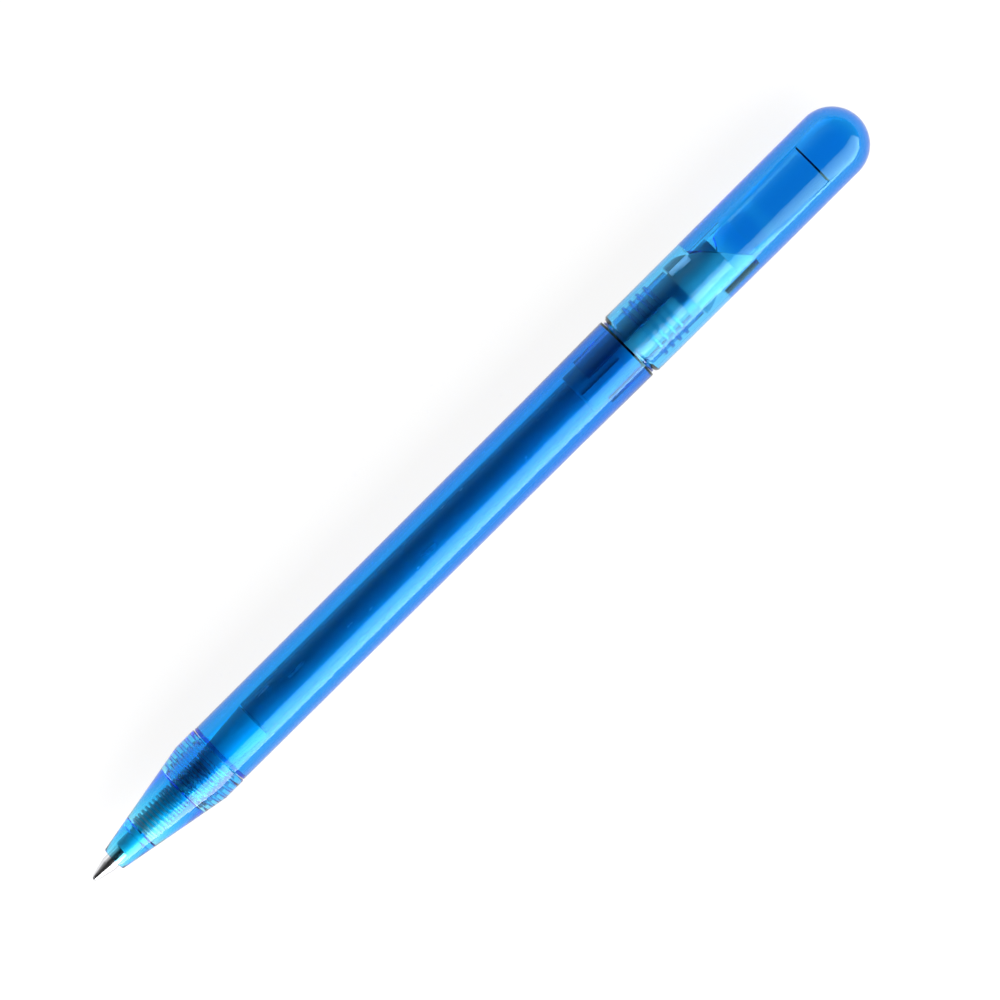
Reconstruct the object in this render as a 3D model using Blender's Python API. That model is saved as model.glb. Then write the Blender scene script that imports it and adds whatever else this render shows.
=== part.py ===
"""Transparent twist-action gel pen, lying along X with the writing tip at -X and the clip on top.

Every position along the pen is given in millimetres from the tip of the writing ball. Angles
around the pen are measured from the top (+Z) towards -Y, which is a right-handed turn about +X.
"""

import math

import bmesh
import bpy

MM = 0.001
SEG = 40                      # facets around every round piece
LENGTH = 140.3                # ball to dome
CAP_R = 5.0                   # largest outer radius
AXIS_Z = CAP_R * math.cos(math.pi / SEG)   # a flat facet faces down, so the pen lies on it
MID_X = LENGTH / 2

# Writing tip and refill
BALL_R = 0.35
TIP_R = 1.12                  # metal socket
TIP_CONE_END = 2.86
TIP_VISIBLE_END = 5.55
ADAPTER_R = 1.25
TUBE_R, TUBE_BORE = 2.73, 2.25
TUBE_FRONT, TUBE_REAR = 29.7, 107.9
INK_REAR = 94.0
FOLLOWER_REAR = 98.2

# Nose cone and its thread
NOSE_FRONT, NOSE_FACE_R = 3.79, 1.72
CONE_END, NOSE_R, NOSE_REAR = 19.7, 4.66, 22.95
SPRING_SEAT = 8.9
SPRING_BORE = 2.3
PITCH = 1.0                   # right-hand thread between nose and barrel
THREAD_FRONT, THREAD_REAR = 16.9, 22.4
MALE_ROOT, MALE_CREST = 3.3, 3.6
FEMALE_ROOT, FEMALE_CREST = 3.74, 3.42

# Return spring
WIRE_R, COIL_R = 0.17, 1.86
SPRING_FRONT, SPRING_REAR = 9.0, 21.05

# Barrel
BARREL_FRONT, BARREL_REAR = 23.1, 97.8
BARREL_BORE, SPIGOT_BORE = 3.83, 2.98

# Guide sleeve, pusher and cap
SLEEVE_FRONT, SLEEVE_REAR = 91.4, 108.1
SLEEVE_BORE, SLEEVE_R, SLEEVE_REAR_R = 3.32, 3.7, 3.85
RIB_R, RIB_FRONT, RIB_STEP = 4.24, 101.05, 1.265
KEYWAY_REAR, KEYWAY_SIDE, KEYWAY_WIDTH = 106.6, -11.0, 62.0
PUSHER_FRONT, PUSHER_REAR = 88.9, 114.9
PUSHER_R, PUSHER_TAIL_R, PUSHER_BORE = 3.2, 3.0, 2.83
KEY_R, KEY_FRONT, KEY_REAR, KEY_MIDDLE, KEY_HALF = 3.6, 89.3, 95.9, 22.0, 20.0
LOBE_R, LOBE_FRONT, LOBE_TOP = 4.12, 108.4, 111.75
CAP_FRONT = 98.3
CAP_BORE_FRONT, CAP_BORE = 4.36, 3.8
DOME_CENTRE = 135.3            # of the outer and the inner dome

# Twist cam: two ramps moulded in the cap, each rising STROKE over SWEEP degrees
CAM_TOP, STROKE, SWEEP, RAMP_START = 112.0, 5.7, 90.0, -49.5

# Clip
CLIP_FRONT, CLIP_REAR = 118.5, 131.5
CLIP_UNDER_FRONT, CLIP_UNDER_REAR = 4.3, 3.95   # heights above the pen's axis
SLOT_GAP = 0.3
CAVITY_FLAT, CAVITY_FLAT_REAR = 3.08, 2.45      # wall under the slot, thin where the pusher comes


def clear_scene():
    for obj in list(bpy.data.objects):
        bpy.data.objects.remove(obj, do_unlink=True)


def material(name, colour, roughness, metallic=0.0, alpha=1.0):
    mat = bpy.data.materials.new(name)
    mat.use_nodes = True
    bsdf = mat.node_tree.nodes["Principled BSDF"]
    bsdf.inputs["Base Color"].default_value = (*colour, 1.0)
    bsdf.inputs["Roughness"].default_value = roughness
    bsdf.inputs["Metallic"].default_value = metallic
    bsdf.inputs["Alpha"].default_value = alpha
    mat.diffuse_color = (*colour, alpha)
    return mat


def place(x, r, phi):
    """A point at x along the pen, r from its axis, phi degrees round from the top."""
    a = math.radians(phi)
    return ((x - MID_X) * MM, -r * math.sin(a) * MM, (AXIS_Z + r * math.cos(a)) * MM)


def finish(name, bm, mat, sharp=35.0):
    bmesh.ops.remove_doubles(bm, verts=bm.verts, dist=2e-6)
    bmesh.ops.recalc_face_normals(bm, faces=bm.faces)
    mesh = bpy.data.meshes.new(name)
    bm.to_mesh(mesh)
    bm.free()
    mesh.materials.append(mat)
    mesh.shade_smooth()
    mesh.set_sharp_from_angle(angle=math.radians(sharp))
    obj = bpy.data.objects.new(name, mesh)
    bpy.context.collection.objects.link(obj)
    return obj


def row_point(row, phi):
    return row(phi) if callable(row) else row


def turned(name, rows, mat, hollow=True, seg=SEG):
    """A turned body from rows of (x, r), each fixed or a function of the angle.

    A hollow body joins its last row to its first. The seam column is welded to the first
    column, so a row may climb by one thread pitch in a full turn.
    """
    bm = bmesh.new()
    start = 180.0 / seg
    angles = [start + 360.0 * k / seg for k in range(seg + 1)]
    grid = [[bm.verts.new(place(*row_point(row, phi), phi)) for phi in angles] for row in rows]
    pairs = list(zip(grid, grid[1:]))
    if hollow:
        pairs.append((grid[-1], grid[0]))
    for low, high in pairs:
        for k in range(seg):
            bm.faces.new((low[k], low[k + 1], high[k + 1], high[k]))
    return finish(name, bm, mat)


def thread_rows(root, crest, phase, front, rear):
    """Rows that follow a right-hand helix, ramped down to the root at both ends."""
    shape = ((0.0, root), (0.15, crest), (0.35, crest), (0.5, root))

    def row(turn, r):
        def at(phi):
            x = front + PITCH * (turn + phase + phi / 360.0)
            x = min(max(x, front), rear)
            fade = min(1.0, (x - front) / (0.6 * PITCH), (rear - x) / (0.6 * PITCH))
            return x, root + (r - root) * fade
        return at

    turns = math.ceil((rear - front) / PITCH) + 1
    return [row(t + f, r) for t in range(-3, turns) for f, r in shape]


def cam_x(phi):
    """Front face of the cap's cam: plateau, ramp, valley and drop, twice round."""
    a = (phi - RAMP_START) % 180.0
    if a <= SWEEP:
        return CAM_TOP + STROKE * a / SWEEP
    return CAM_TOP + STROKE if a < 117.5 else CAM_TOP


def lobe_x(phi):
    """Rear face of the pusher's lobes: a helix that matches the ramp, apex just past its start."""
    a = (RAMP_START + 2.0 - phi) % 180.0
    return LOBE_TOP - STROKE * a / SWEEP if a < 50.0 else LOBE_FRONT


def in_lobe(phi):
    return (RAMP_START + 2.0 - phi) % 180.0 < 50.0


def in_key(phi):
    return abs((phi - KEY_MIDDLE + 90.0) % 180.0 - 90.0) < KEY_HALF


def writing_ball(mat):
    bm = bmesh.new()
    bmesh.ops.create_uvsphere(bm, u_segments=16, v_segments=8, radius=BALL_R * MM)
    obj = finish("writing_ball", bm, mat, 80.0)
    obj.location = place(BALL_R, 0.0, 0.0)
    return obj


def tip_socket(mat):
    outer = [(0.3, 0.43), (TIP_CONE_END, TIP_R), (TIP_VISIBLE_END, TIP_R),
             (TIP_VISIBLE_END, 0.8), (9.1, 0.8)]
    bore = [(9.1, 0.5), (1.7, 0.5), (1.3, 0.2), (0.85, 0.2), (0.62, 0.38), (0.3, 0.38)]
    return turned("tip_socket", outer + bore, mat, seg=24)


def tip_adapter(mat):
    outer = [(5.6, 1.1), (5.8, ADAPTER_R), (8.3, ADAPTER_R), (8.7, 1.48), (21.3, 1.48),
             (21.3, 2.1), (23.2, 2.1), (29.5, 2.62), (29.5, 2.15), (33.6, 2.15)]
    bore = [(33.6, 1.3), (24.0, 1.0), (9.4, 0.6), (9.4, 0.86), (5.6, 0.86)]
    return turned("tip_adapter", outer + bore, mat, seg=24)


def ink_tube(mat):
    rows = [(TUBE_FRONT, TUBE_R), (TUBE_REAR, TUBE_R), (TUBE_REAR, TUBE_BORE),
            (TUBE_FRONT, TUBE_BORE)]
    return turned("ink_tube", rows, mat)


def plug(name, front, rear, r, mat):
    rows = [(front, 0.0), (front, r), (rear, r), (rear, 0.0)]
    return turned(name, rows, mat, hollow=False)


def spring_points():
    """Coil centreline: closed turns at both ends and near the middle, open turns between."""
    per_turn, x, turn, points = 12, SPRING_FRONT + WIRE_R, 0.0, []
    spans = ((10.0, 0.39), (14.0, 0.64), (15.2, 0.39), (20.0, 0.64), (SPRING_REAR - WIRE_R, 0.39))
    for end, pitch in spans:
        while x < end:
            points.append(place(x, COIL_R, 360.0 * turn))
            x += pitch / per_turn
            turn += 1.0 / per_turn
    return points


def return_spring(mat):
    points = spring_points()
    curve = bpy.data.curves.new("return_spring", "CURVE")
    curve.dimensions = "3D"
    curve.bevel_depth = WIRE_R * MM
    curve.bevel_resolution = 1
    curve.use_fill_caps = True
    spline = curve.splines.new("POLY")
    spline.points.add(len(points) - 1)
    for target, point in zip(spline.points, points):
        target.co = (*point, 1.0)
    curve.materials.append(mat)
    obj = bpy.data.objects.new("return_spring", curve)
    bpy.context.collection.objects.link(obj)
    return obj


def nose_cone(mat):
    outer = [(NOSE_FRONT, NOSE_FACE_R - 0.15), (NOSE_FRONT + 0.15, NOSE_FACE_R),
             (CONE_END, NOSE_R), (NOSE_REAR - 0.2, NOSE_R), (NOSE_REAR, NOSE_R - 0.15)]
    thread = thread_rows(FEMALE_ROOT, FEMALE_CREST, 0.5, THREAD_FRONT, THREAD_REAR)
    bore = [(NOSE_REAR, FEMALE_ROOT)] + thread[::-1] + [
        (16.3, FEMALE_ROOT), (16.3, SPRING_BORE), (SPRING_SEAT, SPRING_BORE),
        (SPRING_SEAT - 0.25, 1.7), (7.85, 1.7), (7.6, 1.42), (NOSE_FRONT, 1.36)]
    return turned("nose_cone", outer + bore, mat)


def barrel(mat):
    thread = thread_rows(MALE_ROOT, MALE_CREST, 0.0, THREAD_FRONT, THREAD_REAR)
    spigot = [(16.6, SPIGOT_BORE), (16.6, MALE_ROOT - 0.1), (16.8, MALE_ROOT)] + thread
    outer = [(BARREL_FRONT, MALE_ROOT), (BARREL_FRONT, 4.45), (BARREL_FRONT + 0.2, 4.58),
             (60.0, 4.68), (84.0, 4.74), (BARREL_REAR - 0.3, 4.85), (BARREL_REAR, 4.6)]
    bore = [(BARREL_REAR, BARREL_BORE), (23.75, BARREL_BORE), (23.35, SPIGOT_BORE)]
    return turned("barrel", spigot + outer + bore, mat)


def rib(x):
    """A snap rib round the sleeve, on which the cap is held and turns."""
    return [(x - 0.28, SLEEVE_REAR_R), (x - 0.2, RIB_R), (x + 0.2, RIB_R),
            (x + 0.28, SLEEVE_REAR_R)]


def sector_cutter(name, x0, x1, r0, r1, phi0, phi1):
    steps = [phi0 + (phi1 - phi0) * k / 6 for k in range(7)]
    outline = [(r1, p) for p in steps] + [(r0, p) for p in reversed(steps)]
    bm = bmesh.new()
    ends = [[bm.verts.new(place(x, r, p)) for r, p in outline] for x in (x0, x1)]
    bm.faces.new(ends[0])
    bm.faces.new(ends[1])
    for k in range(len(outline)):
        n = (k + 1) % len(outline)
        bm.faces.new((ends[0][k], ends[0][n], ends[1][n], ends[1][k]))
    return as_cutter(finish(name, bm, material(name, (0.5, 0.5, 0.5), 0.5)))


def as_cutter(obj):
    obj.hide_render = True
    obj.display_type = "WIRE"
    return obj


def cut(obj, cutter):
    mod = obj.modifiers.new(cutter.name, "BOOLEAN")
    mod.operation = "DIFFERENCE"
    mod.object = cutter


def guide_sleeve(mat):
    outer = [(SLEEVE_FRONT, SLEEVE_R), (97.6, SLEEVE_R), (97.92, SLEEVE_R), (97.92, 4.5),
             (98.18, 4.5), (98.18, SLEEVE_REAR_R)]
    for k in range(4):
        outer += rib(RIB_FRONT + RIB_STEP * k)
    outer.append((SLEEVE_REAR, SLEEVE_REAR_R))
    bore = [(SLEEVE_REAR, SLEEVE_BORE), (SLEEVE_FRONT, SLEEVE_BORE)]
    sleeve = turned("guide_sleeve", outer + bore, mat)
    for name, phi in (("keyway_near", KEYWAY_SIDE), ("keyway_far", KEYWAY_SIDE + 180.0)):
        cut(sleeve, sector_cutter(name, 91.0, KEYWAY_REAR, 2.9, 3.98, phi, phi + KEYWAY_WIDTH))
    return sleeve


def pusher(mat):
    def key(x):
        return lambda phi: (x, KEY_R if in_key(phi) else PUSHER_R)

    def lobe(r):
        return lambda phi: (lobe_x(phi), r if in_lobe(phi) else PUSHER_R)

    outer = [(PUSHER_FRONT, PUSHER_R), (KEY_FRONT, PUSHER_R), key(KEY_FRONT), key(KEY_REAR),
             (KEY_REAR, PUSHER_R), (LOBE_FRONT, PUSHER_R),
             lambda phi: (LOBE_FRONT, LOBE_R if in_lobe(phi) else PUSHER_R),
             lobe(LOBE_R), lobe(PUSHER_R), (LOBE_TOP + 0.05, PUSHER_TAIL_R),
             (PUSHER_REAR - 0.2, PUSHER_TAIL_R), (PUSHER_REAR, PUSHER_TAIL_R - 0.2)]
    tail = [(PUSHER_REAR, 2.5), (110.1, 2.5), (110.1, 0.0)]
    cup = [(108.2, 0.0), (108.2, PUSHER_BORE), (PUSHER_FRONT, PUSHER_BORE)]
    return turned_with_floor("pusher", outer + tail, cup, mat)


def turned_with_floor(name, outside, inside, mat):
    """A tube with a floor across it: both skins run to the axis, and they meet at the front rim."""
    bm = bmesh.new()
    start = 180.0 / SEG
    angles = [start + 360.0 * k / SEG for k in range(SEG + 1)]
    rows = inside + outside
    grid = [[bm.verts.new(place(*row_point(row, phi), phi)) for phi in angles] for row in rows]
    for low, high in zip(grid, grid[1:]):
        for k in range(SEG):
            bm.faces.new((low[k], low[k + 1], high[k + 1], high[k]))
    return finish(name, bm, mat)


def dome(centre, r, steps, reach=90.0):
    """Rows of a hemisphere from its rim to its pole."""
    rows = []
    for k in range(1, steps + 1):
        a = math.radians(reach * k / steps)
        rows.append((centre + r * math.sin(a), r * math.cos(a) if k < steps else 0.0))
    return rows


def flattened(x, r, top, bottom=CAP_BORE):
    """A row of the cap's round cavity, cut flat at the given heights over and under the axis."""
    def at(phi):
        c = math.cos(math.radians(phi))
        flat = (top if c > 0.0 else bottom) / max(abs(c), 0.2)
        return x, min(r, flat)
    return at


def cap(mat):
    outside = [(CAP_FRONT, 4.65), (CAP_FRONT + 0.3, 4.9), (112.0, 4.95), (122.0, CAP_R),
               (DOME_CENTRE, CAP_R)] + dome(DOME_CENTRE, CAP_R, 9)
    end = [flattened(x, r, CAVITY_FLAT_REAR)
           for x, r in [(DOME_CENTRE, CAP_BORE)] + dome(DOME_CENTRE, CAP_BORE, 7)]
    cam_rear = CAM_TOP + STROKE + 0.1
    inside = end[::-1] + [
        flattened(123.2, CAP_BORE, CAVITY_FLAT_REAR),
        flattened(121.3, CAP_BORE, CAVITY_FLAT, CAVITY_FLAT),
        flattened(cam_rear, CAP_BORE, CAVITY_FLAT, CAVITY_FLAT),
        lambda phi: (cam_x(phi), CAP_BORE), lambda phi: (cam_x(phi), CAP_BORE_FRONT),
        (CAP_FRONT, CAP_BORE_FRONT)]
    body = turned_with_floor("cap", outside, inside, mat)
    cut(body, slot_cutter())
    return body


def slot_cutter():
    """Wedge that clears the clip's sloping underside and both its ends by SLOT_GAP."""
    x0, x1 = CLIP_FRONT - SLOT_GAP, CLIP_REAR + SLOT_GAP
    outline = ((x0, CLIP_UNDER_FRONT - SLOT_GAP), (x1, CLIP_UNDER_REAR - SLOT_GAP),
               (x1, 6.0), (x0, 6.0))
    bm = bmesh.new()
    sides = [[bm.verts.new(((x - MID_X) * MM, y * MM, (AXIS_Z + z) * MM)) for x, z in outline]
             for y in (-7.0, 7.0)]
    bm.faces.new(sides[0])
    bm.faces.new(sides[1])
    for k in range(4):
        n = (k + 1) % 4
        bm.faces.new((sides[0][k], sides[0][n], sides[1][n], sides[1][k]))
    return as_cutter(finish("clip_slot", bm, material("clip_slot", (0.5, 0.5, 0.5), 0.5)))


def clip(mat):
    """Flush tongue: the slice of the cap's own cylinder above the slot, flat underneath."""
    bm = bmesh.new()
    rings = []
    for x, under, outer in ((CLIP_FRONT, CLIP_UNDER_FRONT, 4.985), (122.0, None, CAP_R),
                            (CLIP_REAR, CLIP_UNDER_REAR, CAP_R)):
        share = (x - CLIP_FRONT) / (CLIP_REAR - CLIP_FRONT)
        under = CLIP_UNDER_FRONT + (CLIP_UNDER_REAR - CLIP_UNDER_FRONT) * share
        half = math.degrees(math.acos(under / outer))
        rings.append([bm.verts.new(place(x, outer, half * (k / 6 - 1))) for k in range(13)])
    for low, high in zip(rings, rings[1:]):
        for k in range(12):
            bm.faces.new((low[k], low[k + 1], high[k + 1], high[k]))
        bm.faces.new((low[0], high[0], high[12], low[12]))
    bm.faces.new(rings[0])
    bm.faces.new(rings[-1])
    obj = finish("clip", bm, mat)
    return on_axis(obj, (CLIP_REAR - MID_X) * MM, (AXIS_Z + 4.1) * MM)


def on_axis(obj, x, z):
    """Moves an object's origin to the middle of its hinge line, with its shape left in place."""
    for vertex in obj.data.vertices:
        vertex.co.x -= x
        vertex.co.z -= z
    obj.location = (x, 0.0, z)
    return obj


def parent_on_pen_axis(name, children):
    """An empty on the pen's own axis, which carries pieces that turn or slide on it."""
    pivot = bpy.data.objects.new(name, None)
    pivot.location = (0.0, 0.0, AXIS_Z * MM)
    bpy.context.collection.objects.link(pivot)
    for child in children:
        child.parent = pivot
        child.location.z -= AXIS_Z * MM
    return pivot


def main():
    clear_scene()
    blue = material("clear_blue", (0.02, 0.35, 0.85), 0.05, alpha=0.4)
    teal = material("clear_teal", (0.02, 0.42, 0.5), 0.08, alpha=0.5)
    tube_mat = material("refill_tube", (0.05, 0.4, 0.75), 0.1, alpha=0.5)
    ink_mat = material("gel_ink", (0.0, 0.06, 0.35), 0.3)
    grease = material("ink_follower", (0.5, 0.68, 0.85), 0.15, alpha=0.6)
    steel = material("tip_metal", (0.72, 0.72, 0.74), 0.18, 1.0)
    wire = material("spring_wire", (0.6, 0.62, 0.66), 0.25, 1.0)
    carbide = material("ball_metal", (0.35, 0.35, 0.37), 0.15, 1.0)
    barrel(blue)
    guide_sleeve(blue)
    refill = [writing_ball(carbide), tip_socket(steel), tip_adapter(tube_mat), ink_tube(tube_mat),
              plug("gel_ink", 33.9, INK_REAR, 2.2, ink_mat),
              plug("ink_follower", INK_REAR + 0.1, FOLLOWER_REAR, 2.2, grease), pusher(teal)]
    parent_on_pen_axis("refill_slide_axis", refill)
    parent_on_pen_axis("nose_thread_axis", [nose_cone(blue), return_spring(wire)])
    shell = cap(blue)
    tongue = clip(blue)
    parent_on_pen_axis("cap_twist_axis", [shell, tongue])


main()
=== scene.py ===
"""Looks of the clear blue twist pen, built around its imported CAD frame.

Positions along the pen and radii are in millimetres, from the tip of the writing ball and from
the pen's axis. Angles run from the top (+Z) towards -Y. place() turns them into the frame.
"""
import math

import bmesh
import bpy
from mathutils import Matrix, Vector

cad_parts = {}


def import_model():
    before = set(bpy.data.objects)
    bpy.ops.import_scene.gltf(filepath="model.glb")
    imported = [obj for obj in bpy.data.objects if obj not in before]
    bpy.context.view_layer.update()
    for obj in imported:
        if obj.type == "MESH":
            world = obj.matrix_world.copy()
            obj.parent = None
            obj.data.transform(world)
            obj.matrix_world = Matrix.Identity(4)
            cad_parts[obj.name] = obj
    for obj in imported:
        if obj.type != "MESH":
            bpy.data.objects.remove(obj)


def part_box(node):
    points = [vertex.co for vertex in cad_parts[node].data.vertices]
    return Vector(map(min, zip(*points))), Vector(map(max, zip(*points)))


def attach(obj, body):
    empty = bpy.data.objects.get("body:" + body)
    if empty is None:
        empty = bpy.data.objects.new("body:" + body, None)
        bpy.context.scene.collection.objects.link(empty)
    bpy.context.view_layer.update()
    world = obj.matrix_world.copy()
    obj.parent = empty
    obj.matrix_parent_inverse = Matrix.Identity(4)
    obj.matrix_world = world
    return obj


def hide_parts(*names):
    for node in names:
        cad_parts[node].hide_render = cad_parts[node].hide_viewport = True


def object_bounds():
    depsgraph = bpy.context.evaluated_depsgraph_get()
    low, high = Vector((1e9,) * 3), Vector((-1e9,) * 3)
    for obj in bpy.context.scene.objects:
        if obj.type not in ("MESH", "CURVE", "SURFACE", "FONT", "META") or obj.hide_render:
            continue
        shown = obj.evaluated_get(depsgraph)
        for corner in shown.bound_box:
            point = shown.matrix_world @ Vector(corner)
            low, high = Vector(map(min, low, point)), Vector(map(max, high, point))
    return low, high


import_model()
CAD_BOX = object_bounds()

MM = 0.001
SEG = 180                                  # columns round a turned piece
LOW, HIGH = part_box("barrel")
AXIS_Z = (LOW.z + HIGH.z) / 2              # height of the pen's axis
TIP_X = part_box("writing_ball")[0].x        # front of the writing ball
FLAT = math.cos(math.pi / 40)              # the frame's facets: mid-facet radius over corner radius

# Radii that the frame's boxes don't show
BORE = {"barrel": 3.83, "spigot": 2.98, "nose": 3.74, "spring": 2.3, "sleeve": 3.32,
        "pusher": 2.83, "cap_front": 4.36, "cap": 3.8, "tube": 2.25}
COIL_R, WIRE_R = 1.86, 0.17
PITCH, MALE, FEMALE = 1.0, (3.3, 3.6), (3.74, 3.42)   # thread: pitch, (root, crest)
THREAD_SPAN = (16.9, 22.4)
CAM_TOP, STROKE, SWEEP, RAMP_START = 112.0, 5.7, 90.0, -49.5
LOBE_R, LOBE_FRONT, LOBE_TOP, LOBE_WIDTH = 4.12, 108.4, 111.75, 50.0
PUSHER_R, PUSHER_TAIL_R = 3.2, 3.0
KEY_R, KEY_FRONT, KEY_REAR, KEY_MIDDLE, KEY_HALF = 3.6, 89.3, 95.9, 22.0, 20.0
KEYWAY_REAR, KEYWAY_SIDE, KEYWAY_WIDTH = 106.6, -11.0, 62.0
SLEEVE_R, RIB_R, RIB_FRONT, RIB_STEP = 3.85, 4.24, 101.05, 1.265
CLIP_UNDER, SLOT_GAP, SLOT_END_GAP = (4.3, 3.95), 0.1, 0.06
UNDERCUT, CLIP_TRIM = 0.3, 0.35             # at the slot's rear end; off the clip's rear end
CAVITY_FLAT = (3.08, 2.45)                 # height of the cavity's flat, front and rear
DOME_CENTRE = 135.3                        # of the outer and the inner dome


def span(node):
    """Front and rear of a CAD node, in millimetres from the tip."""
    low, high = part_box(node)
    return (low.x - TIP_X) / MM, (high.x - TIP_X) / MM


def place(x, r, phi):
    a = math.radians(phi)
    r *= FLAT * MM
    return Vector((TIP_X + x * MM, -r * math.sin(a), AXIS_Z + r * math.cos(a)))


# ---- mesh helpers ----------------------------------------------------------------------------

def fillet(rows, radius, steps=4):
    """Rounds the corners of a profile of fixed (x, r) rows; rows on the axis stay."""
    points = [Vector(row) for row in rows]
    out = []
    for k, here in enumerate(points):
        if k in (0, len(points) - 1) or here.y == 0.0:
            out.append(here)
            continue
        back, on = points[k - 1] - here, points[k + 1] - here
        if back.length < 1e-6 or on.length < 1e-6:
            out.append(here)
            continue
        turn = math.pi - back.angle(on)
        if turn < math.radians(12):
            out.append(here)
            continue
        reach = min(radius * math.tan(turn / 2), 0.42 * back.length, 0.42 * on.length)
        first, last = here + back.normalized() * reach, here + on.normalized() * reach
        for s in range(steps + 1):
            t = s / steps
            out.append(first * (1 - t) ** 2 + here * 2 * t * (1 - t) + last * t ** 2)
    return [(p.x, p.y) for p in out]


def to_object(name, bm, sharp=40.0):
    bmesh.ops.remove_doubles(bm, verts=bm.verts, dist=1e-7)
    bmesh.ops.recalc_face_normals(bm, faces=bm.faces)
    mesh = bpy.data.meshes.new(name)
    bm.to_mesh(mesh)
    bm.free()
    mesh.shade_smooth()
    mesh.set_sharp_from_angle(angle=math.radians(sharp))
    obj = bpy.data.objects.new(name, mesh)
    bpy.context.collection.objects.link(obj)
    return obj


def turned(name, rows, ring=True, sharp=40.0):
    """A turned body from rows of (x, r), each fixed or a function of the angle.

    A ring joins its last row to its first. The seam column is welded to the first column, so
    a row may climb by one thread pitch in a full turn.
    """
    bm = bmesh.new()
    angles = [360.0 * k / SEG for k in range(SEG + 1)]
    grid = []
    for row in rows:
        line = row if callable(row) else (lambda phi, fixed=row: fixed)
        grid.append([bm.verts.new(place(*line(phi), phi)) for phi in angles])
    pairs = list(zip(grid, grid[1:])) + ([(grid[-1], grid[0])] if ring else [])
    for low, high in pairs:
        for k in range(SEG):
            bm.faces.new((low[k], low[k + 1], high[k + 1], high[k]))
    return to_object(name, bm, sharp)


def thread(root, crest, phase, front, rear):
    """Rows that follow a right-hand helix with steep flanks, fading out at both ends."""
    shape = ((0.0, 0.0), (0.04, 0.9), (0.08, 1.0), (0.42, 1.0), (0.46, 0.9), (0.5, 0.0))

    def row(turn, height):
        def at(phi):
            x = front + PITCH * (turn + phase + phi / 360.0)
            x = min(max(x, front), rear)
            fade = min(1.0, (x - front) / (0.6 * PITCH), (rear - x) / (0.6 * PITCH))
            return x, root + (crest - root) * height * fade
        return at

    turns = math.ceil((rear - front) / PITCH) + 1
    return [row(t + f, h) for t in range(-2, turns) for f, h in shape]


def dome(centre, r, steps):
    rows = []
    for k in range(1, steps + 1):
        a = math.pi / 2 * k / steps
        rows.append((centre + r * math.sin(a), r * math.cos(a) if k < steps else 0.0))
    return rows


def block(name, corners):
    """A closed body between two outlines of the same length."""
    bm = bmesh.new()
    ends = [[bm.verts.new(p) for p in outline] for outline in corners]
    bm.faces.new(ends[0])
    bm.faces.new(ends[1])
    for k in range(len(ends[0])):
        n = (k + 1) % len(ends[0])
        bm.faces.new((ends[0][k], ends[0][n], ends[1][n], ends[1][k]))
    return to_object(name, bm)


def carve(obj, cutter):
    """Takes the cutter's shape out of obj for good."""
    mod = obj.modifiers.new("carve", "BOOLEAN")
    mod.operation = "DIFFERENCE"
    mod.object = cutter
    bpy.context.view_layer.objects.active = obj
    bpy.ops.object.modifier_apply(modifier=mod.name)
    bpy.data.objects.remove(cutter, do_unlink=True)
    obj.data.set_sharp_from_angle(angle=math.radians(40.0))


def sector(x0, x1, r0, r1, phi0, phi1):
    steps = [phi0 + (phi1 - phi0) * k / 12 for k in range(13)]
    outline = [(r1, p) for p in steps] + [(r0, p) for p in reversed(steps)]
    return block("cutter", [[place(x, r, p) for r, p in outline] for x in (x0, x1)])


def show(obj, node, material, body):
    obj.data.materials.clear()
    obj.data.materials.append(material)
    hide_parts(node)
    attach(obj, body)
    return obj


# ---- materials -------------------------------------------------------------------------------

class Shader:
    """A node material built up line by line."""

    def __init__(self, name):
        self.material = bpy.data.materials.new(name)
        self.material.use_nodes = True
        self.tree = self.material.node_tree
        self.bsdf = self.tree.nodes["Principled BSDF"]
        self.output = self.tree.nodes["Material Output"]

    def node(self, kind, inputs=None, **settings):
        node = self.tree.nodes.new(kind)
        for key, value in settings.items():
            setattr(node, key, value)
        for key, value in (inputs or {}).items():
            if isinstance(value, bpy.types.NodeSocket):
                self.tree.links.new(value, node.inputs[key])
            else:
                node.inputs[key].default_value = value
        return node

    def set(self, **values):
        for key, value in values.items():
            socket = self.bsdf.inputs[key.replace("_", " ")]
            if isinstance(value, bpy.types.NodeSocket):
                self.tree.links.new(value, socket)
            else:
                socket.default_value = value

    def coordinates(self, stretch=(1.0, 1.0, 1.0)):
        """Object coordinates in millimetres, stretched along the pen or round it."""
        source = self.node("ShaderNodeTexCoord").outputs["Object"]
        scale = [s / MM for s in stretch]
        return self.node("ShaderNodeMapping", {"Vector": source, "Scale": scale}).outputs[0]

    def noise(self, scale, detail=3.0, stretch=(1.0, 1.0, 1.0)):
        vector = self.coordinates(stretch)
        return self.node("ShaderNodeTexNoise",
                         {"Vector": vector, "Scale": scale, "Detail": detail}).outputs["Fac"]

    def spread(self, value, low, high):
        """Maps a 0.3 to 0.7 noise to the range low to high."""
        return self.node("ShaderNodeMapRange", {"Value": value, "From Min": 0.3, "From Max": 0.7,
                                                "To Min": low, "To Max": high}).outputs[0]

    def mixed(self, value, first, second):
        ramp = self.node("ShaderNodeMix", data_type="RGBA")
        self.tree.links.new(value, ramp.inputs["Factor"])
        ramp.inputs["A"].default_value = (*first, 1.0)
        ramp.inputs["B"].default_value = (*second, 1.0)
        return ramp.outputs["Result"]

    def bump(self, height, strength, depth):
        """Adds relief of the given depth in millimetres."""
        node = self.node("ShaderNodeBump", {"Height": height, "Strength": strength,
                                            "Distance": depth * MM})
        self.set(Normal=node.outputs[0])


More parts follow.
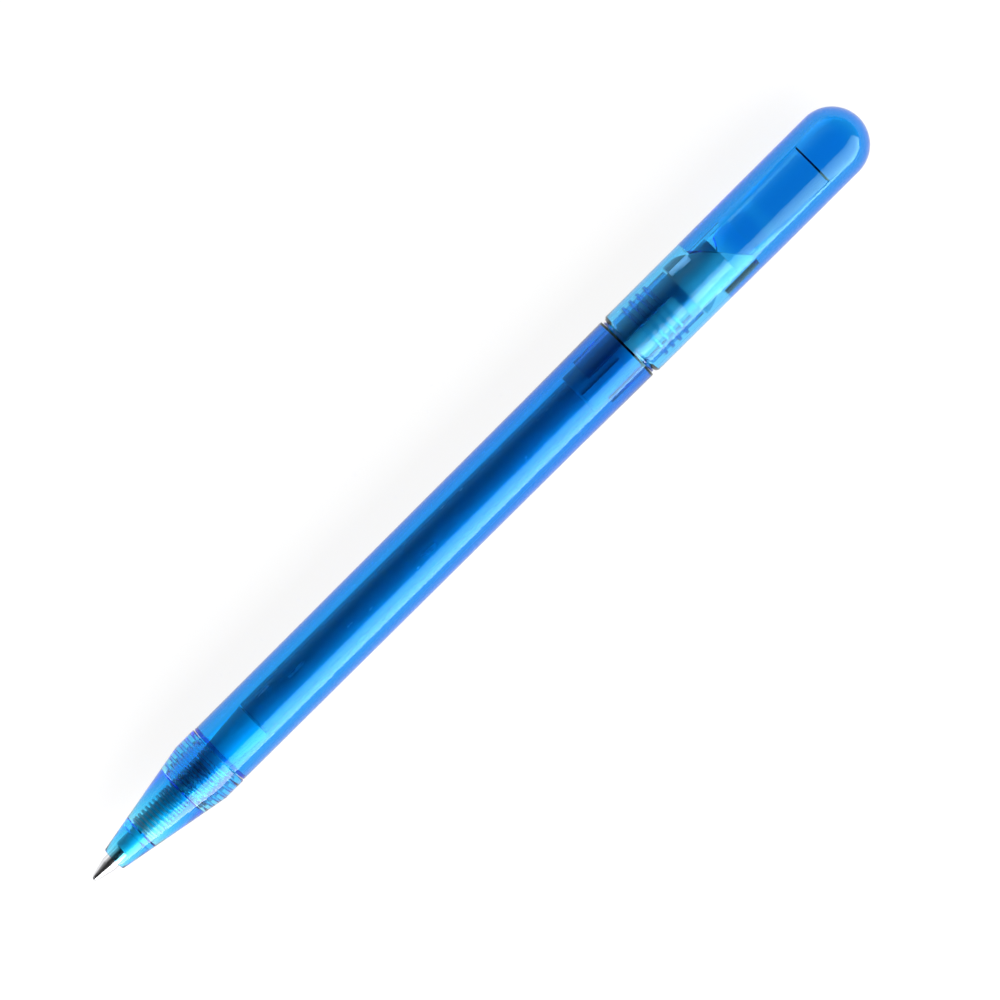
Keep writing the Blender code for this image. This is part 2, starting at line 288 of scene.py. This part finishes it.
def clear_plastic(name, absorb, gloss, roughness=(0.0, 0.02)):
    """Clear moulded plastic: absorb is what each millimetre takes from red, green and blue."""
    s = Shader(name)
    most = max(absorb)
    s.set(Base_Color=(1.0, 1.0, 1.0, 1.0), Transmission_Weight=1.0, IOR=1.49,
          Specular_Tint=(*gloss, 1.0))
    s.set(Roughness=s.spread(s.noise(0.5), *roughness))
    s.bump(s.noise(0.35, 2.0, (0.25, 1.0, 1.0)), 0.02, 0.002)
    volume = s.node("ShaderNodeVolumeAbsorption")
    volume.inputs["Color"].default_value = (*[1.0 - a / most for a in absorb], 1.0)
    volume.inputs["Density"].default_value = most / MM
    s.tree.links.new(volume.outputs[0], s.output.inputs["Volume"])
    return s.material


def satin_plastic(name, first, second, roughness, see_through=0.0, ior=1.5, gloss=(1.0, 1.0, 1.0)):
    """Cloudy moulded plastic, with faint flow marks along the pen."""
    s = Shader(name)
    flow = s.noise(0.8, 4.0, (0.2, 1.0, 1.0))
    s.set(Base_Color=s.mixed(flow, first, second), IOR=ior, Specular_Tint=(*gloss, 1.0),
          Transmission_Weight=see_through)
    s.set(Roughness=s.spread(flow, roughness * 0.8, roughness * 1.3))
    s.bump(s.noise(6.0, 3.0, (0.3, 1.0, 1.0)), 0.3, 0.01)
    return s.material


def ink(name, first, second):
    """Wet gel: even colour with slow swirls and a smooth surface."""
    s = Shader(name)
    s.set(Base_Color=s.mixed(s.noise(0.6, 4.0, (0.3, 1.0, 1.0)), first, second), IOR=1.38)
    s.set(Roughness=s.spread(s.noise(1.5), 0.18, 0.3))
    s.bump(s.noise(1.0, 2.0), 0.2, 0.02)
    return s.material


def turned_metal(name, colour, roughness, ridge):
    """Steel off the lathe: fine rings round the pen, ridge millimetres apart."""
    s = Shader(name)
    rings = s.node("ShaderNodeTexWave", {"Vector": s.coordinates(), "Scale": 0.314 / ridge,
                                         "Distortion": 1.2, "Detail": 2.0},
                   bands_direction="X").outputs["Fac"]
    scuff = s.noise(3.0, 4.0)
    s.set(Metallic=1.0, Base_Color=s.mixed(scuff, colour, [0.86 * c for c in colour]))
    s.set(Roughness=s.spread(scuff, roughness * 0.7, roughness * 1.4))
    s.bump(rings, 0.25, 0.003)
    return s.material


# ---- pieces ----------------------------------------------------------------------------------

def writing_ball(steel):
    r = (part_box("writing_ball")[1].x - TIP_X) / MM / 2
    rows = [(r - r * math.cos(math.pi * k / 24), r * math.sin(math.pi * k / 24))
            for k in range(1, 24)]
    ball = turned("carbide_ball", [(0.0, 0.0)] + rows + [(2 * r, 0.0)], ring=False)
    show(ball, "writing_ball", steel, "refill")


def tip_socket(steel):
    end = span("tip_socket")[1]
    outer = [(0.42, 0.38), (0.32, 0.4), (0.36, 0.46), (1.1, 0.66), (2.7, 1.08), (2.86, 1.12),
             (5.5, 1.12), (5.55, 1.06), (5.55, 0.8), (end - 0.1, 0.8), (end, 0.7)]
    bore = [(end, 0.5), (1.7, 0.5), (1.3, 0.2), (0.85, 0.2), (0.62, 0.38)]
    show(turned("writing_tip", fillet(outer + bore, 0.05, 2)), "tip_socket", steel,
         "refill")


def tip_adapter(plastic):
    outer = [(5.6, 1.1), (5.8, 1.25), (8.3, 1.25), (8.7, 1.48), (21.3, 1.48), (21.3, 2.1),
             (23.2, 2.1), (29.5, 2.62), (29.5, 2.15), (33.6, 2.15)]
    bore = [(33.6, 1.3), (24.0, 1.0), (9.4, 0.6), (9.4, 0.86), (5.6, 0.86)]
    show(turned("refill_neck", fillet(outer + bore, 0.15, 3)), "tip_adapter", plastic,
         "refill")


def ink_tube(plastic):
    front, rear = span("ink_tube")
    r = 2.73
    rows = [(front, BORE["tube"]), (front, r), (rear, r), (rear, BORE["tube"])]
    rows = [(front + 10.0, BORE["tube"])] + rows + [(rear - 10.0, BORE["tube"])]
    show(turned("refill_tube", fillet(rows, 0.12, 3)), "ink_tube", plastic,
         "refill")


def contents(node, name, material, front_bulge, rear_bulge):
    """What fills the tube: a plug with a curved meniscus at each end."""
    front, rear = span(node)
    r, steps = 2.2, 10
    share = [math.sin(math.pi / 2 * k / steps) for k in range(steps + 1)]
    nose = [(front + front_bulge * (1 - math.sqrt(1 - s * s)), r * s) for s in share]
    tail = [(rear - rear_bulge * (1 - math.sqrt(1 - s * s)), r * s) for s in reversed(share)]
    show(turned(name, nose + tail, ring=False), node, material, "refill")


def return_spring(wire):
    front, rear = span("return_spring")
    per_turn, x, turn, points = 32, front + WIRE_R, 0.0, []
    spans = ((10.0, 0.39), (14.0, 0.64), (15.2, 0.39), (20.0, 0.64), (rear - WIRE_R, 0.39))
    for end, pitch in spans:
        while x < end:
            points.append(place(x, COIL_R, 360.0 * turn))
            x += pitch / per_turn
            turn += 1.0 / per_turn
    curve = bpy.data.curves.new("coil", "CURVE")
    curve.dimensions = "3D"
    curve.bevel_depth = WIRE_R * MM
    curve.bevel_resolution = 3
    curve.use_fill_caps = True
    spline = curve.splines.new("POLY")
    spline.points.add(len(points) - 1)
    for target, point in zip(spline.points, points):
        target.co = (*point, 1.0)
    obj = bpy.data.objects.new("coil_spring", curve)
    bpy.context.collection.objects.link(obj)
    show(obj, "return_spring", wire, "spring")


def nose_cone(plastic):
    front, rear = span("nose_cone")
    outer = fillet([(8.0, 1.43), (front, 1.36), (front, 1.72), (19.7, 4.66), (rear, 4.66),
                    (rear, FEMALE[0]), (22.5, FEMALE[0])], 0.18)[1:-1]
    inner = thread(*FEMALE, 0.5, *THREAD_SPAN)[::-1]
    seat = fillet([(16.7, FEMALE[0]), (16.5, FEMALE[0]), (16.5, 2.5), (16.3, BORE["spring"]),
                   (8.98, BORE["spring"]), (8.98, 1.95), (8.75, 1.7), (8.05, 1.7), (7.8, 1.42),
                   (5.0, 1.37)], 0.02, 1)
    show(turned("nose_shell", outer + inner + seat), "nose_cone", plastic,
         "nose")


def barrel(plastic):
    front, rear = span("barrel")
    shoulder = 23.1
    lead = fillet([(front + 3.0, BORE["spigot"]), (front, BORE["spigot"]), (front, MALE[0] - 0.1),
                   (front + 0.25, MALE[0])], 0.06, 2)[1:]
    outer = fillet([(22.5, MALE[0]), (shoulder, MALE[0]), (shoulder, 4.58), (60.0, 4.68),
                    (84.0, 4.74), (rear, 4.85), (rear, 4.75), (rear - 0.3, 4.4),
                    (rear - 0.3, BORE["barrel"]), (30.0, BORE["barrel"])], 0.06)
    step = [(23.6, BORE["barrel"]), (23.55, BORE["barrel"] - 0.05), (23.55, BORE["spigot"])]
    body = turned("barrel_shell", lead + thread(*MALE, 0.0, *THREAD_SPAN) + outer + step)
    show(body, "barrel", plastic, "barrel")


def guide_sleeve(plastic):
    """Fixed in the barrel's rear end: two keyways, a collar, and the ribs that hold the cap."""
    front, rear = span("guide_sleeve")
    r, collar = 3.7, 4.5
    rows = [(front + 2, BORE["sleeve"]), (front, BORE["sleeve"]), (front, r), (97.92, r),
            (97.92, collar), (98.18, collar), (98.18, SLEEVE_R)]
    for k in range(4):
        x = RIB_FRONT + RIB_STEP * k
        rows += [(x - 0.28, SLEEVE_R), (x - 0.2, RIB_R), (x + 0.2, RIB_R), (x + 0.28, SLEEVE_R)]
    rows += [(rear, SLEEVE_R), (rear, BORE["sleeve"]), (rear - 2, BORE["sleeve"])]
    sleeve = turned("guide_bush", fillet(rows, 0.07, 3)[1:-1])
    for side in (KEYWAY_SIDE, KEYWAY_SIDE + 180.0):
        carve(sleeve, sector(front - 0.4, KEYWAY_REAR, 2.9, 3.98, side, side + KEYWAY_WIDTH))
    show(sleeve, "guide_sleeve", plastic, "barrel")


def lobe_x(phi):
    a = (RAMP_START + 2.0 - phi) % 180.0
    return LOBE_TOP - STROKE * a / SWEEP if a < LOBE_WIDTH else LOBE_FRONT


def pusher(plastic):
    front, rear = span("pusher")
    r = PUSHER_R

    def in_lobe(phi):
        return (RAMP_START + 2.0 - phi) % 180.0 < LOBE_WIDTH

    def key(x):
        return lambda phi: (x, KEY_R if abs((phi - KEY_MIDDLE + 90.0) % 180.0 - 90.0) < KEY_HALF
                            else r)

    def lobe(x, height):
        return lambda phi: (x(phi), height if in_lobe(phi) else r)

    outer = fillet([(front + 1, BORE["pusher"]), (front, BORE["pusher"]), (front, r),
                    (front + 0.3, r)], 0.1, 3)[1:]
    outer += [key(KEY_FRONT), key(KEY_REAR), (KEY_REAR + 0.02, r), (LOBE_FRONT - 0.02, r),
              lobe(lambda phi: LOBE_FRONT, LOBE_R - 0.08),
              lobe(lambda phi: min(LOBE_FRONT + 0.08, lobe_x(phi)), LOBE_R),
              lobe(lambda phi: max(LOBE_FRONT, lobe_x(phi) - 0.08), LOBE_R),
              lobe(lobe_x, LOBE_R - 0.08), lobe(lobe_x, r)]
    tail = fillet([(LOBE_TOP, PUSHER_TAIL_R), (LOBE_TOP + 0.05, PUSHER_TAIL_R),
                   (rear, PUSHER_TAIL_R), (rear, 2.5), (110.1, 2.5), (110.1, 0.0)], 0.15)[1:]
    cup = fillet([(108.2, 0.0), (108.2, BORE["pusher"]), (front + 1, BORE["pusher"])], 0.3)
    rows = cup[:-1] + outer + tail
    show(turned("push_cup", rows, ring=False), "pusher", plastic, "refill")


def cam_x(phi):
    a = (phi - RAMP_START) % 180.0
    if a <= SWEEP:
        return CAM_TOP + STROKE * a / SWEEP
    return CAM_TOP + STROKE if a < 117.5 else CAM_TOP


def flattened(x, r, top, bottom=9.0):
    """A row of the cap's round cavity, cut flat at the given heights over and under the axis."""
    def at(phi):
        c = math.cos(math.radians(phi))
        return x, min(r, (top if c > 0.0 else bottom) / max(abs(c), 0.2))
    return at


def cap(plastic):
    front, rear = span("cap")
    r, bore, (flat, deep) = rear - DOME_CENTRE, BORE["cap"], CAVITY_FLAT
    outside = fillet([(front + 2, BORE["cap_front"]), (front, BORE["cap_front"]), (front, 4.6),
                      (front + 0.4, 4.92), (112.0, 4.95), (122.0, r), (DOME_CENTRE, r)], 0.3)
    outside = outside[1:] + dome(DOME_CENTRE, r, 28)
    end = [(DOME_CENTRE, bore)] + dome(DOME_CENTRE, bore, 28)
    inside = [flattened(x, height, deep) for x, height in reversed(end)] + [
        flattened(123.2, bore, deep), flattened(121.3, bore, flat, flat),
        flattened(CAM_TOP + STROKE + 0.1, bore, flat, flat), lambda phi: (cam_x(phi), bore),
        lambda phi: (cam_x(phi), BORE["cap_front"]), (front + 1.5, BORE["cap_front"])]
    shell = turned("cap_shell", inside + outside, ring=False, sharp=30.0)
    carve(shell, slot_cutter())
    show(shell, "cap", plastic, "cap")


def slot_cutter():
    """Wedge under the clip, a narrow gap off its sloping underside and its ends."""
    x0, x1 = span("clip")
    x0, x1 = x0 - SLOT_END_GAP, x1 - CLIP_TRIM + SLOT_END_GAP
    floor_front, floor_rear = (z - SLOT_GAP for z in CLIP_UNDER)
    outline = [(x0, floor_front), (x1 + UNDERCUT, floor_rear), (x1, floor_rear + UNDERCUT),
               (x1, 6.0), (x0, 6.0)]
    return block("cutter", [[Vector((TIP_X + x * MM, y * MM, AXIS_Z + z * FLAT * MM))
                             for x, z in outline] for y in (-7.0, 7.0)])


def clip(plastic):
    """Flush tongue: the slice of the cap's own cylinder above the slot, flat underneath."""
    front, rear = span("clip")
    rear -= CLIP_TRIM
    bm = bmesh.new()
    rings = []
    for k in range(17):
        share = k / 16
        x = front + (rear - front) * share
        under = CLIP_UNDER[0] + (CLIP_UNDER[1] - CLIP_UNDER[0]) * share
        outer = min(5.0, 4.985 + 0.015 * (x - front) / 3.5)
        half = math.degrees(math.acos(under / outer))
        rings.append([bm.verts.new(place(x, outer, half * (i / 20 - 1))) for i in range(41)])
    for low, high in zip(rings, rings[1:]):
        for i in range(40):
            bm.faces.new((low[i], low[i + 1], high[i + 1], high[i]))
        bm.faces.new((low[0], high[0], high[40], low[40]))
    bm.faces.new(rings[0])
    bm.faces.new(rings[-1])
    show(to_object("clip_tongue", bm, 20.0), "clip", plastic, "clip")


# ---- studio ----------------------------------------------------------------------------------

FIELD = 129.87                # millimetres of the pen's own plane across the picture
LENS, SENSOR = 200.0, 36.0
HEADING = -44.87              # degrees: the pen runs from lower left to upper right
SOFTBOX = 8.0                 # radiance at the soft box's bright edge; the table's is 1


def camera():
    data = bpy.data.cameras.new("camera")
    data.lens, data.sensor_width = LENS, SENSOR
    data.clip_start, data.clip_end = 0.01, 10.0
    obj = bpy.data.objects.new("camera", data)
    bpy.context.collection.objects.link(obj)
    a = math.radians(HEADING)
    right, up = Vector((math.cos(a), math.sin(a), 0)), Vector((-math.sin(a), math.cos(a), 0))
    low, high = CAD_BOX
    middle = Vector(((low.x + high.x) / 2, 0.0, AXIS_Z))
    off_centre = (3.09 * right - 0.18 * up) * MM
    obj.location = middle + off_centre + Vector((0, 0, FIELD * MM * LENS / SENSOR))
    obj.rotation_euler = (0.0, 0.0, a)
    bpy.context.scene.camera = obj


def floor():
    """Pale table, lit from below like a light table, so that the clear pen glows."""
    bm = bmesh.new()
    bmesh.ops.create_circle(bm, cap_ends=True, segments=96, radius=1.6)
    obj = to_object("table", bm)
    obj.location.z = -0.00005
    s = Shader("light_table")
    pale = s.mixed(s.noise(0.004, 2.0), (0.12, 0.12, 0.12), (0.14, 0.14, 0.14))
    s.set(Base_Color=pale, Roughness=0.9, Specular_IOR_Level=0.1,
          Emission_Color=(1.0, 1.0, 1.0, 1.0), Emission_Strength=0.92)
    obj.data.materials.append(s.material)


def world():
    """Dark overhead and beyond the pen's two ends, grey to bright along its sides."""
    w = bpy.data.worlds.new("studio")
    bpy.context.scene.world = w
    w.use_nodes = True
    tree = w.node_tree

    def ramp(source, stops):
        node = tree.nodes.new("ShaderNodeValToRGB")
        tree.links.new(source, node.inputs["Fac"])
        points = node.color_ramp.elements
        for place_at, grey in stops[1:-1]:
            points.new(place_at)
        for point, (place_at, grey) in zip(points, stops):
            point.position, point.color = place_at, (grey, grey, grey, 1.0)
        return node.outputs["Color"]

    direction = tree.nodes.new("ShaderNodeTexCoord").outputs["Generated"]
    split = tree.nodes.new("ShaderNodeSeparateXYZ")
    tree.links.new(direction, split.inputs[0])
    along = tree.nodes.new("ShaderNodeMath")
    along.operation = "ABSOLUTE"
    tree.links.new(split.outputs["X"], along.inputs[0])
    height = ramp(split.outputs["Z"], ((0.03, 1.0), (0.3, 0.45), (0.6, 0.32), (0.85, 0.02)))
    ends = ramp(along.outputs[0], ((0.3, 1.0), (0.65, 0.06)))
    both = tree.nodes.new("ShaderNodeVectorMath")
    both.operation = "MULTIPLY"
    tree.links.new(height, both.inputs[0])
    tree.links.new(ends, both.inputs[1])
    tree.links.new(both.outputs[0], tree.nodes["Background"].inputs["Color"])
    tree.nodes["Background"].inputs["Strength"].default_value = 1.6


def softbox():
    """Long soft box on the -Y side, brighter towards its lower edge."""
    near, far = math.radians(32.0), math.radians(86.0)
    reach = 0.45
    top = Vector((0.0, -math.sin(near), math.cos(near))) * reach
    foot = Vector((0.0, -math.sin(far), math.cos(far))) * reach
    data = bpy.data.lights.new("softbox", "AREA")
    data.shape = "RECTANGLE"
    data.size, data.size_y = 1.6, (top - foot).length
    area = data.size * data.size_y
    data.energy = 4.0 * SOFTBOX * area
    data.use_nodes = True
    tree = data.node_tree
    across = tree.nodes.new("ShaderNodeNewGeometry").outputs["Parametric"]
    split = tree.nodes.new("ShaderNodeSeparateXYZ")
    fall = tree.nodes.new("ShaderNodeMapRange")
    fall.inputs["To Min"].default_value, fall.inputs["To Max"].default_value = 1.0, 0.3
    tree.links.new(across, split.inputs[0])
    tree.links.new(split.outputs["Y"], fall.inputs["Value"])
    tree.links.new(fall.outputs[0], tree.nodes["Emission"].inputs["Strength"])
    obj = bpy.data.objects.new("softbox", data)
    bpy.context.collection.objects.link(obj)
    centre = (top + foot) / 2
    up = (top - foot).normalized()
    back = centre.normalized()
    back = (back - back.dot(up) * up).normalized()
    side = up.cross(back)
    matrix = [[side[i], up[i], back[i], centre[i]] for i in range(3)] + [[0, 0, 0, 1]]
    obj.matrix_world = Matrix(matrix)
    obj.location.z += AXIS_Z
    obj.visible_camera = False


def render_settings():
    scene = bpy.context.scene
    scene.view_settings.view_transform = "Standard"
    cycles = scene.cycles
    cycles.max_bounces = cycles.transmission_bounces = 28
    cycles.glossy_bounces, cycles.diffuse_bounces = 10, 5
    cycles.transparent_max_bounces = 16
    cycles.caustics_refractive = cycles.caustics_reflective = True
    cycles.use_denoising = True


def main():
    barrel_blue = clear_plastic("clear_blue", (4.0, 0.68, 0.11), (0.38, 0.86, 0.86))
    sleeve_blue = clear_plastic("clear_blue_sleeve", (3.0, 0.52, 0.07), (1.0, 1.0, 1.0))
    cap_blue = clear_plastic("clear_blue_cap", (1.7, 0.45, 0.08), (0.38, 0.78, 0.76))
    nose_blue = clear_plastic("clear_blue_nose", (1.6, 0.29, 0.04), (0.75, 0.75, 0.72))
    neck = satin_plastic("refill_neck", (0.08, 0.76, 0.94), (0.12, 0.82, 0.97), 0.35)
    tube = satin_plastic("refill_tube", (0.5, 0.8, 0.95), (0.6, 0.85, 1.0), 0.22, 0.7)
    teal = satin_plastic("pusher_teal", (0.1, 0.5, 0.67), (0.14, 0.56, 0.71), 0.12, 0.0, 2.2,
                         (1.0, 0.35, 0.3))
    gel = ink("gel_ink", (0.05, 0.3, 0.6), (0.08, 0.36, 0.66))
    grease = ink("follower_grease", (0.5, 0.68, 0.85), (0.6, 0.75, 0.9))
    steel = turned_metal("turned_steel", (0.78, 0.78, 0.8), 0.16, 0.06)
    wire = turned_metal("spring_wire", (0.62, 0.72, 0.78), 0.55, 0.03)
    carbide = turned_metal("carbide", (0.4, 0.4, 0.42), 0.12, 0.2)
    writing_ball(carbide)
    tip_socket(steel)
    tip_adapter(neck)
    ink_tube(tube)
    contents("gel_ink", "ink_column", gel, 0.3, -0.25)
    contents("ink_follower", "grease_plug", grease, -0.2, 0.5)
    return_spring(wire)
    nose_cone(nose_blue)
    barrel(barrel_blue)
    guide_sleeve(sleeve_blue)
    pusher(teal)
    cap(cap_blue)
    clip(cap_blue)
    camera()
    floor()
    world()
    softbox()
    render_settings()


main()
bpy.context.view_layer.update()
